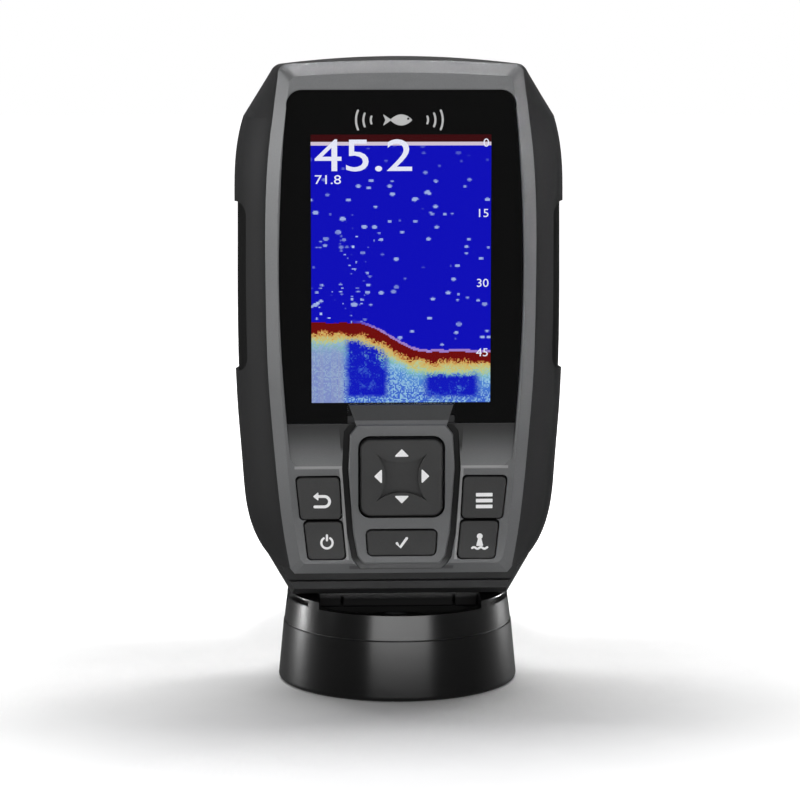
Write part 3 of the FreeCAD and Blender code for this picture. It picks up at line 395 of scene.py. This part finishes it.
def circuit_board(name):
    """Green solder mask over copper tracks."""
    shader = Shader(name, specular_ior_level=0.5, coat_weight=0.3, coat_roughness=0.15)
    x, _, z = shader.axes()
    grid = shader.point((x * 900.0).math("FLOOR"), (z * 160.0).math("FLOOR"))
    tracks = shader.white(grid).over(0.55)
    mask, copper = srgb(12, 74, 40), srgb(30, 112, 62)
    shader.feed("Base Color", shader.blend(tracks, mask, copper))
    shader.feed("Roughness", shader.noise(700.0).mapped(0.28, 0.42))
    shader.feed("Normal", shader.bumps(tracks, 0.02 * MM))
    return shader.material


def display_edge(name):
    """Black polariser film round the picture, with a very faint sheen."""
    shader = Shader(name, specular_ior_level=0.3)
    film = shader.noise(1800.0, 2.0, 0.5)
    shader.feed("Base Color", shader.colours(film, [(0.3, srgb(5)), (0.7, srgb(11, 11, 14))]))
    shader.feed("Roughness", film.mapped(0.3, 0.4))
    return shader.material


def ceramic(name):
    """Unglazed ceramic with a silvered patch's dull grain."""
    shader = Shader(name, specular_ior_level=0.5)
    grain = shader.noise(1500.0, 4.0, 0.7)
    shader.feed("Base Color", shader.colours(grain, [(0.3, srgb(176, 166, 148)), (0.7, srgb(214, 205, 188))]))
    shader.feed("Roughness", grain.mapped(0.45, 0.62))
    shader.feed("Normal", shader.bumps(grain, 0.02 * MM))
    return shader.material


def printed_ink(name, colour, rough=0.45, specular=0.4):
    """Pad-printed ink: almost even, with a slight orange peel."""
    shader = Shader(name, specular_ior_level=specular)
    peel = shader.noise(3200.0, 2.0, 0.5)
    dark = tuple(c * 0.9 for c in colour)
    shader.feed("Base Color", shader.colours(peel, [(0.3, dark), (0.65, colour)]))
    shader.feed("Roughness", peel.mapped(rough - 0.06, rough + 0.06))
    shader.feed("Normal", shader.bumps(peel, 0.006 * MM))
    return shader.material


FINISHES = {
    "stand_black": moulded_plastic("stand_black", srgb(11), 0.24, 3200.0, 0.004 * MM),
    "glide_nylon": moulded_plastic("glide_nylon", srgb(12), 0.55, 2600.0, 0.01 * MM),
    "steel": turned_metal("steel", srgb(150, 152, 156), 0.34),
    "cradle_black": moulded_plastic("cradle_black", srgb(24, 24, 25), 0.42, 2600.0, 0.014 * MM),
    "latch_grey": moulded_plastic("latch_grey", srgb(70, 71, 73), 0.46, 2600.0, 0.014 * MM),
    "housing_dark": housing_plastic("housing_dark"),
    "seal_rubber": rubber("seal_rubber", srgb(22)),
    "bezel_grey": satin_paint("bezel_grey", srgb(104, 105, 106), 0.42),
    "lens_glass": clear_glass("lens_glass"),
    "lcd_face": display_edge("lcd_face"),
    "shield_tin": turned_metal("shield_tin", srgb(186, 188, 190), 0.3),
    "flex_film": moulded_plastic("flex_film", srgb(150, 84, 24), 0.3, 1800.0, 0.008 * MM),
    "key_grey": key_plastic("key_grey"),
    "mat_silicone": rubber("mat_silicone", srgb(92, 94, 98), 0.6),
    "board_green": circuit_board("board_green"),
    "ceramic": ceramic("ceramic"),
    "component_black": moulded_plastic("component_black", srgb(26), 0.4, 2600.0, 0.012 * MM),
    "pin_brass": turned_metal("pin_brass", srgb(214, 176, 92), 0.26),
    "vent_white": rubber("vent_white", srgb(206, 206, 200), 0.8),
}


def dress_frame():
    """Give every CAD node the finish of its slot in the record."""
    for part in frame["record"]["subparts"]:
        mesh = NODES[part["node"]].data
        mesh.materials.clear()
        mesh.materials.append(FINISHES[part["material_slot"]])


dress_frame()


# ---- flat printed shapes -------------------------------------------------------------------------

PRINT_THICK = 0.05 * MM
PRINT_SINK = 0.02 * MM


def place_print(curve, name, y, finish, body, thick):
    """Stand a flat curve up so that it faces the front, its back just under the surface at depth y."""
    curve.dimensions = "2D"
    curve.fill_mode = "BOTH"
    curve.extrude = (thick + PRINT_SINK) / 2
    curve.materials.append(finish)
    piece = bpy.data.objects.new(name, curve)
    piece.rotation_euler = (math.pi / 2, 0.0, 0.0)
    piece.location = (0.0, y + PRINT_SINK - (thick + PRINT_SINK) / 2, 0.0)
    SCENE.collection.objects.link(piece)
    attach(piece, body)
    return piece


def printed(name, outlines, y, finish, body, thick=PRINT_THICK):
    """Flat piece from closed outlines, given as x and z in metres. An outline inside another is a hole."""
    curve = bpy.data.curves.new(name, "CURVE")
    for outline in outlines:
        spline = curve.splines.new("POLY")
        spline.points.add(len(outline) - 1)
        for point, (x, z) in zip(spline.points, outline):
            point.co = (x, z, 0.0, 1.0)
        spline.use_cyclic_u = True
    return place_print(curve, name, y, finish, body, thick)


def arc(centre, radius, start, end, count=24):
    """Points along an arc, in degrees, anticlockwise from +x."""
    points = []
    for i in range(count + 1):
        angle = math.radians(start + (end - start) * i / count)
        points.append((centre[0] + radius * math.cos(angle), centre[1] + radius * math.sin(angle)))
    return points


def stroke(path, width):
    """Outline of a line of some width with round ends."""
    half = width / 2
    left, right = [], []
    for i, here in enumerate(path):
        before = path[max(i - 1, 0)]
        after = path[min(i + 1, len(path) - 1)]
        along = (Vector(after) - Vector(before)).normalized()
        left.append((here[0] - along.y * half, here[1] + along.x * half))
        right.append((here[0] + along.y * half, here[1] - along.x * half))
    first = Vector(path[1]) - Vector(path[0])
    last = Vector(path[-1]) - Vector(path[-2])
    tail = math.degrees(math.atan2(first.y, first.x))
    head = math.degrees(math.atan2(last.y, last.x))
    cap_end = arc(path[-1], half, head - 90, head + 90, 8)
    cap_start = arc(path[0], half, tail + 90, tail + 270, 8)
    return right + cap_end[1:-1] + left[::-1] + cap_start[1:-1]


def rounded(corners, radius):
    """Outline with its corners rounded, given anticlockwise."""
    points = []
    count = len(corners)
    for i in range(count):
        here = Vector(corners[i])
        into = (here - Vector(corners[i - 1])).normalized()
        out = (Vector(corners[(i + 1) % count]) - here).normalized()
        turn = into.angle_signed(out) * -1
        reach = radius * math.tan(abs(turn) / 2)
        start = here - into * reach
        centre = start + Vector((-into.y, into.x)) * radius * (1 if turn > 0 else -1)
        from_centre = start - centre
        for step in range(7):
            angle = turn * step / 6
            c, s = math.cos(angle), math.sin(angle)
            spoke = Vector((from_centre.x * c - from_centre.y * s, from_centre.x * s + from_centre.y * c))
            points.append(tuple(centre + spoke))
    return points


def moved(points, x, z):
    """Outline in millimetres moved to a place in metres."""
    return [(x + px * MM, z + pz * MM) for px, pz in points]


# ---- key marks -----------------------------------------------------------------------------------

KEY_INK = printed_ink("key_ink", srgb(236))


def front_of(node):
    """Centre of a node's front face: x, y and z."""
    low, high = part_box(node)
    return (low.x + high.x) / 2, low.y, (low.z + high.z) / 2


def arrow_marks():
    """Four small triangles on the direction pad, one on each petal."""
    x, y, z = front_of("key_dpad")
    reach = 6.45
    triangle = rounded([(-2.1, -1.0), (2.1, -1.0), (0.0, 1.15)], 0.2)
    for name, turn in (("up", 0), ("left", 90), ("down", 180), ("right", 270)):
        c, s = math.cos(math.radians(turn)), math.sin(math.radians(turn))
        outline = []
        for px, pz in triangle:
            pz += reach
            outline.append((px * c - pz * s, px * s + pz * c))
        printed("mark_" + name, [moved(outline, x, z + 0.4 * MM)], y, KEY_INK, "dpad")


def select_mark():
    x, y, z = front_of("key_select")
    tick = stroke([(-1.3, -0.1), (-0.4, -1.2), (1.4, 1.3)], 0.75)
    printed("mark_select", [moved(tick, x, z)], y, KEY_INK, "select_button")


def back_mark():
    """Arrow that turns back to the left."""
    x, y, z = front_of("key_back")
    x, z = x + 0.8 * MM, z - 0.8 * MM
    bend = [(-1.2, 1.35), (0.7, 1.35)] + arc((0.7, -0.1), 1.45, 80, -90, 14) + [(-1.9, -1.55)]
    head = [(-2.4, 1.35), (-0.9, 0.1), (-0.9, 2.6)]
    printed("mark_back", [moved(stroke(bend, 0.8), x, z)], y, KEY_INK, "back_button")
    # Marks that overlap differ in thickness, so that no two faces lie in one plane.
    printed("mark_back_head", [moved(rounded(head, 0.15), x, z)], y, KEY_INK, "back_button",
            PRINT_THICK * 1.3)


def power_mark():
    x, y, z = front_of("key_power")
    x, z = x + 0.6 * MM, z - 0.4 * MM
    broken_ring = stroke(arc((0, -0.2), 1.55, 125, 415, 36), 0.62)
    bar = stroke([(0, 0.5), (0, 1.9)], 0.62)
    printed("mark_power_ring", [moved(broken_ring, x, z)], y, KEY_INK, "power_button")
    printed("mark_power_bar", [moved(bar, x, z)], y, KEY_INK, "power_button")


def menu_mark():
    x, y, z = front_of("key_menu")
    z -= 0.9 * MM
    bars = []
    for level in (-1.65, 0.0, 1.65):
        corners = [(-2.3, level - 0.5), (2.3, level - 0.5), (2.3, level + 0.5), (-2.3, level + 0.5)]
        bars.append(moved(rounded(corners, 0.15), x, z))
    printed("mark_menu", bars, y, KEY_INK, "menu_button")


def waypoint_mark():
    """Buoy on a little wave, for marking a spot."""
    x, y, z = front_of("key_waypoint")
    x, z = x + 0.4 * MM, z - 0.6 * MM
    buoy = rounded([(-1.0, -1.2), (1.0, -1.2), (0.45, 1.0), (-0.45, 1.0)], 0.2)
    lamp = arc((0, 1.55), 0.8, 0, 345, 23)
    wave = stroke([(-2.1 + 0.14 * i, -1.75 + 0.22 * math.sin(0.45 * i)) for i in range(31)], 0.6)
    for name, outline, layers in (("buoy", buoy, 1.0), ("lamp", lamp, 1.3), ("wave", wave, 1.6)):
        printed("mark_waypoint_" + name, [moved(outline, x, z)], y, KEY_INK, "waypoint_button",
                PRINT_THICK * layers)


arrow_marks()
select_mark()
back_mark()
power_mark()
menu_mark()
waypoint_mark()


# ---- screen --------------------------------------------------------------------------------------

PICTURE_WIDTH = 49.3 * MM
PICTURE_HEIGHT = 73.65 * MM
PICTURE_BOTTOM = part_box("lcd_panel")[0].z + 3.47 * MM
PICTURE_LEFT = -PICTURE_WIDTH / 2
PICTURE_COLUMNS = 150.0
PICTURE_ROWS = 224.0
PANEL_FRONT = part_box("lcd_panel")[0].y
GLASS_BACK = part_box("lens_window")[1].y


def slab(name, x, y, z, finish, body):
    """Thin upright plate between two limits on each axis."""
    vertices = [(px, py, pz) for py in y for pz in z for px in x]
    front = (0, 1, 3, 2)
    faces = [front, tuple(i + 4 for i in reversed(front))]
    faces += [(after, at, at + 4, after + 4) for at, after in zip(front, front[1:] + front[:1])]
    mesh = bpy.data.meshes.new(name)
    mesh.from_pydata(vertices, [], faces)
    mesh.materials.append(finish)
    mesh.validate()
    piece = bpy.data.objects.new(name, mesh)
    SCENE.collection.objects.link(piece)
    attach(piece, body)
    return piece


def sonar_shader():
    """Sonar picture: blue water with echoes, a dark red bottom line and the returns beneath it."""
    shader = Shader("sonar_picture", roughness=0.5, specular_ior_level=0.0)
    x, _, z = shader.axes()
    across = ((x - PICTURE_LEFT) / PICTURE_WIDTH).steps(PICTURE_COLUMNS)
    up = ((z - PICTURE_BOTTOM) / PICTURE_HEIGHT).steps(PICTURE_ROWS)

    column_number = (across * PICTURE_COLUMNS).math("ROUND")
    column = shader.white(shader.point(column_number, 0.0))
    speck = shader.white(shader.point(column_number, (up * PICTURE_ROWS).math("ROUND")))
    blotch = shader.noise(14.0, 3.0, 0.6, place=shader.point(across, up * 1.5))
    broad = shader.noise(5.0, 2.0, 0.5, place=shader.point(across, up * 1.5, 3.0))

    # Height of the bottom line: level at the left, a slope past the middle, level again.
    slope = across.spread(0.44, 0.0, 1.0, 0.42)
    bottom = slope * -0.118 + 0.302 + (blotch - 0.5) * 0.012 - (across * 6.0).math("SINE") * 0.004
    under = bottom - up

    thick = slope.mapped(0.040, 0.034)
    ragged = (speck - 0.5) * 0.016 + (blotch - 0.5) * 0.05
    fringe = under - thick + ragged
    returns = shader.colours(fringe * 8.0, [
        (0.0, srgb(168, 66, 30)), (0.08, srgb(214, 176, 96)), (0.24, srgb(190, 204, 136)),
        (0.40, srgb(122, 186, 186)), (0.60, srgb(84, 140, 214)), (1.0, srgb(58, 100, 206)),
    ])
    pale = (speck * 0.55 + broad * 0.75 - 0.28).over(0.44, 0.3)
    returns = shader.blend(pale * fringe.over(0.04, 0.05), returns, srgb(150, 196, 226))
    left_haze = (across * -1.0 + 0.20).over(0.02, 0.06) * fringe.over(0.05, 0.06)
    returns = shader.blend(left_haze * (column * 0.3 + 0.55), returns, srgb(150, 160, 196))
    deep_left = across.between(0.19, 0.42, 0.05) * fringe.over(0.03, 0.03) * (up - 0.02).over(0.0, 0.02)
    deep_right = across.between(0.63, 0.93, 0.06) * fringe.over(0.05, 0.03) * up.over(0.02, 0.02)
    hole = (deep_left + deep_right).math("MINIMUM", 1.0) * (speck * 0.25 + blotch).over(0.46, 0.3)
    returns = shader.blend(hole, returns, srgb(8, 20, 190))

    # Water: deep blue with scattered echoes, thicker in two shoals and faint near the surface.
    shoal_a = ellipse(across, up, 0.28, 0.58, 0.13, 0.13)
    shoal_b = ellipse(across, up, 0.14, 0.36, 0.2, 0.1)
    echoes = echo_marks(shader, across, up, 17.0, 0.0) * (broad.over(0.44, 0.2) * 0.5 + 0.5)
    crowd = echo_marks(shader, across, up, 30.0, 7.0) * (shoal_a + shoal_b).math("MINIMUM", 1.0)
    echo = (echoes * 0.8 + crowd).math("MINIMUM", 1.0)
    water = shader.blend(echo * up.over(0.86, 0.1).mapped(1.0, 0.25), srgb(4, 4, 187), srgb(176, 196, 240))

    picture = shader.blend(under.over(0.0), water, srgb(112, 3, 2))
    rim = under.between(-0.010, 0.0) * across.over(0.3, 0.2)
    picture = shader.blend(rim * 0.7, picture, srgb(188, 150, 206))
    picture = shader.blend(fringe.over(0.0), picture, returns)

    surface_red = up.over(0.973)
    surface_white = up.between(0.957, 0.973)
    picture = shader.blend(surface_white, picture, srgb(214, 200, 214))
    picture = shader.blend(surface_red, picture, srgb(58, 2, 6))

    shader.surface.inputs["Base Color"].default_value = (0.0, 0.0, 0.0, 1.0)
    shader.feed("Emission Color", picture)
    shader.surface.inputs["Emission Strength"].default_value = 1.0
    return shader.material


def ellipse(across, up, x, z, wide, high):
    """1 inside an ellipse in the picture, fading to 0 at its edge."""
    dx = (across - x) / wide
    dz = (up - z) / high
    return (dx * dx + dz * dz).spread(0.7, 1.0, 0.0, 0.9)


def echo_marks(shader, across, up, count, seed):
    """Small fish echoes: cells that hold a short level dash, most of them left empty."""
    place = shader.point(across * count, up * count * 2.4, seed)
    near = shader.cells(1.0, place=place)
    pick = shader.cells(1.0, place=place, output="Color")
    size = pick * 0.42
    return (near * -1.0 + size).over(0.06, 0.10) * pick.over(0.57, 0.06)


CAPITAL_SHARE = 0.72


def number(name, text, x, z, height, align, finish, widen):
    """Digits on the screen, set in the glass just in front of the picture."""
    curve = bpy.data.curves.new(name, "FONT")
    curve.body = text
    curve.align_x = align
    curve.size = height / CAPITAL_SHARE
    curve.resolution_u = 4
    curve.dimensions = "2D"
    curve.fill_mode = "BOTH"
    curve.extrude = 0.008 * MM
    curve.materials.append(finish)
    piece = bpy.data.objects.new(name, curve)
    piece.rotation_euler = (math.pi / 2, 0.0, 0.0)
    piece.location = (x, GLASS_BACK - 0.03 * MM, z)
    piece.scale.x = widen
    SCENE.collection.objects.link(piece)
    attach(piece, "head")
    return piece


def lit(name, colour):
    """Bright pixels of the display."""
    shader = Shader(name, roughness=0.5, specular_ior_level=0.0)
    grid = shader.noise(2600.0, 1.0, 0.5)
    dim = tuple(c * 0.92 for c in colour)
    shader.feed("Emission Color", shader.colours(grid, [(0.3, dim), (0.7, colour)]))
    shader.surface.inputs["Base Color"].default_value = (0.0, 0.0, 0.0, 1.0)
    shader.surface.inputs["Emission Strength"].default_value = 1.0
    return shader.material


def screen():
    right, top = PICTURE_LEFT + PICTURE_WIDTH, PICTURE_BOTTOM + PICTURE_HEIGHT
    picture = slab("sonar_picture", (PICTURE_LEFT, right), (GLASS_BACK - 0.02 * MM, PANEL_FRONT + 0.01 * MM),
                   (PICTURE_BOTTOM, top), sonar_shader(), "head")
    ink = lit("screen_digits", srgb(238, 240, 255))
    margin = PICTURE_LEFT + 0.9 * MM
    number("depth_reading", "45.2", margin, top - 9.9 * MM, 9.0 * MM, "LEFT", ink, 1.27)
    number("temperature_reading", "71.8", margin, top - 13.4 * MM, 2.5 * MM, "LEFT", ink, 1.25)
    for i in range(4):
        level = top - 3.3 * MM - 19.2 * MM * i
        number(f"scale_{15 * i}", str(15 * i), right - 0.5 * MM, level, 2.3 * MM, "RIGHT", ink, 1.1)


screen()


def lens_mask():
    """Black ink on the back of the cover glass, open over the picture and clear of the keypad's nose."""
    low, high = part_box("lens_window")
    middle = (low.z + high.z) / 2
    notch_half, notch_top = 14.81 * MM, PICTURE_BOTTOM - 0.3 * MM
    rim = set()
    for vertex in NODES["lens_window"].data.vertices:
        x, y, z = vertex.co
        in_notch = abs(x) < notch_half and z < notch_top
        if abs(y - high.y) < 0.01 * MM and not in_notch:
            rim.add((round(x, 6), round(z, 6)))
    outer = sorted(rim, key=lambda p: math.atan2(p[0], middle - p[1]) % (2 * math.pi))
    outer += [(-notch_half, low.z), (-notch_half, notch_top), (notch_half, notch_top), (notch_half, low.z)]
    top = PICTURE_BOTTOM + PICTURE_HEIGHT
    inner = [(PICTURE_LEFT, PICTURE_BOTTOM), (-PICTURE_LEFT, PICTURE_BOTTOM), (-PICTURE_LEFT, top),
             (PICTURE_LEFT, top)]
    ink = printed_ink("mask_ink", srgb(5), 0.6, 0.0)
    mask = printed("lens_mask", [outer, inner], high.y - 0.01 * MM, ink,
                   "head", 0.01 * MM)


def emblem():
    """Plain fish between sonar arcs, printed above the picture on the front of the glass."""
    ink = printed_ink("emblem_ink", srgb(176))
    y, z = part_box("lens_window")[0].y, 160.7 * MM
    back = [(-3.0 + 0.3 * i, 1.5 * math.sin(math.pi * i / 20) ** 0.8) for i in range(21)]
    belly = [(x, -height) for x, height in back[-2:0:-1]]
    eye = arc((1.9, 0.35), 0.33, 0, 340, 17)
    tail = rounded([(-5.0, -1.6), (-2.6, 0.0), (-5.0, 1.6), (-4.3, 0.0)], 0.08)
    shapes = [[back[::-1] + belly[::-1], eye], [tail]]
    for radius in (2.3, 4.3, 6.3):
        shapes.append([stroke(arc((5.0, 0.0), radius, -24, 24, 14), 0.55)])
        shapes.append([stroke(arc((-6.0, 0.0), radius, 156, 204, 14), 0.55)])
    for i, outlines in enumerate(shapes):
        printed(f"emblem_{i}", [moved(outline, 0.0, z) for outline in outlines], y, ink, "head")


lens_mask()
emblem()


# ---- floor and light -----------------------------------------------------------------------------

FLOOR_RADIUS = 6.0
FLOOR_SIDES = 96
WORLD_FILL = 0.20
WORLD_GLOSS = 0.12


def add_floor():
    """Round pale paper floor that glows white away from the object."""
    mesh = bpy.data.meshes.new("floor")
    angles = [2 * math.pi * i / FLOOR_SIDES for i in range(FLOOR_SIDES)]
    rim = [(FLOOR_RADIUS * math.cos(angle), FLOOR_RADIUS * math.sin(angle), 0.0) for angle in angles]
    mesh.from_pydata(rim, [], [tuple(range(FLOOR_SIDES))])
    shader = Shader("floor", roughness=0.9, specular_ior_level=0.1)
    paper = shader.noise(30.0, 4.0, 0.6)
    shader.feed("Base Color", shader.colours(paper, [(0.3, (0.86, 0.86, 0.86)), (0.7, (0.9, 0.9, 0.9))]))
    x, y, _ = shader.axes()
    shader.feed("Emission Strength", (x * x + y * y).math("SQRT").spread(0.18, 0.0, 1.0, 0.26))
    shader.surface.inputs["Emission Color"].default_value = (1.0, 1.0, 1.0, 1.0)
    mesh.materials.append(shader.material)
    floor = bpy.data.objects.new("floor", mesh)
    floor.visible_glossy = False
    SCENE.collection.objects.link(floor)


def area_light(name, azimuth, elevation, distance, size, power, aim=0.09, spread=180):
    """Softbox round the object, with its beam narrowed to spread; angles in degrees."""
    data = bpy.data.lights.new(name, "AREA")
    data.shape = "RECTANGLE"
    data.size, data.size_y = size
    data.energy = power
    data.spread = math.radians(spread)
    light = bpy.data.objects.new(name, data)
    back = direction(math.radians(azimuth), math.radians(elevation))
    light.location = Vector((0.0, 0.0, aim)) + back * distance
    light.rotation_mode = "QUATERNION"
    light.rotation_quaternion = (-back).to_track_quat("-Z", "Y")
    light.visible_camera = False
    SCENE.collection.objects.link(light)


def add_world():
    """White surroundings for the camera, a dimmer fill for the object and a dark room for its reflections."""
    world = bpy.data.worlds.new("studio")
    world.use_nodes = True
    tree = world.node_tree
    background = tree.nodes["Background"]
    path = tree.nodes.new("ShaderNodeLightPath")
    seen = Wire(tree, path.outputs["Is Camera Ray"]) * (1.0 - WORLD_FILL)
    mirrored = Wire(tree, path.outputs["Is Glossy Ray"]) * (WORLD_FILL - WORLD_GLOSS)
    strength = (seen - mirrored) + WORLD_FILL
    tree.links.new(strength.socket, background.inputs["Strength"])
    background.inputs["Color"].default_value = (1.0, 1.0, 1.0, 1.0)
    SCENE.world = world


add_floor()
add_world()
area_light("back_top", 180, 77, 0.90, (0.90, 0.22), 8.5)
area_light("front", 3, 14, 1.20, (1.1, 0.30), 2.6)
area_light("left_bevel", -74, 4, 0.90, (0.25, 0.14), 0.025, 0.108, 4)
area_light("right_bevel", 74, 4, 0.90, (0.25, 0.14), 0.021, 0.108, 4)
area_light("top_bevel", 0, 62, 0.50, (0.35, 0.04), 0.05, 0.172, 6)
for i in range(-3, 4):
    area_light(f"low_front_{i + 3}", 1 + 8.5 * i, 0, 0.35, (0.10, 0.02), 0.00044, 0.023, 10)
area_light("low_left", -114, 2, 0.30, (0.12, 0.02), 0.010, 0.010, 12)
area_light("low_right", 128, 2, 0.30, (0.12, 0.02), 0.010, 0.010, 12)
SCENE.view_settings.view_transform = "Standard"
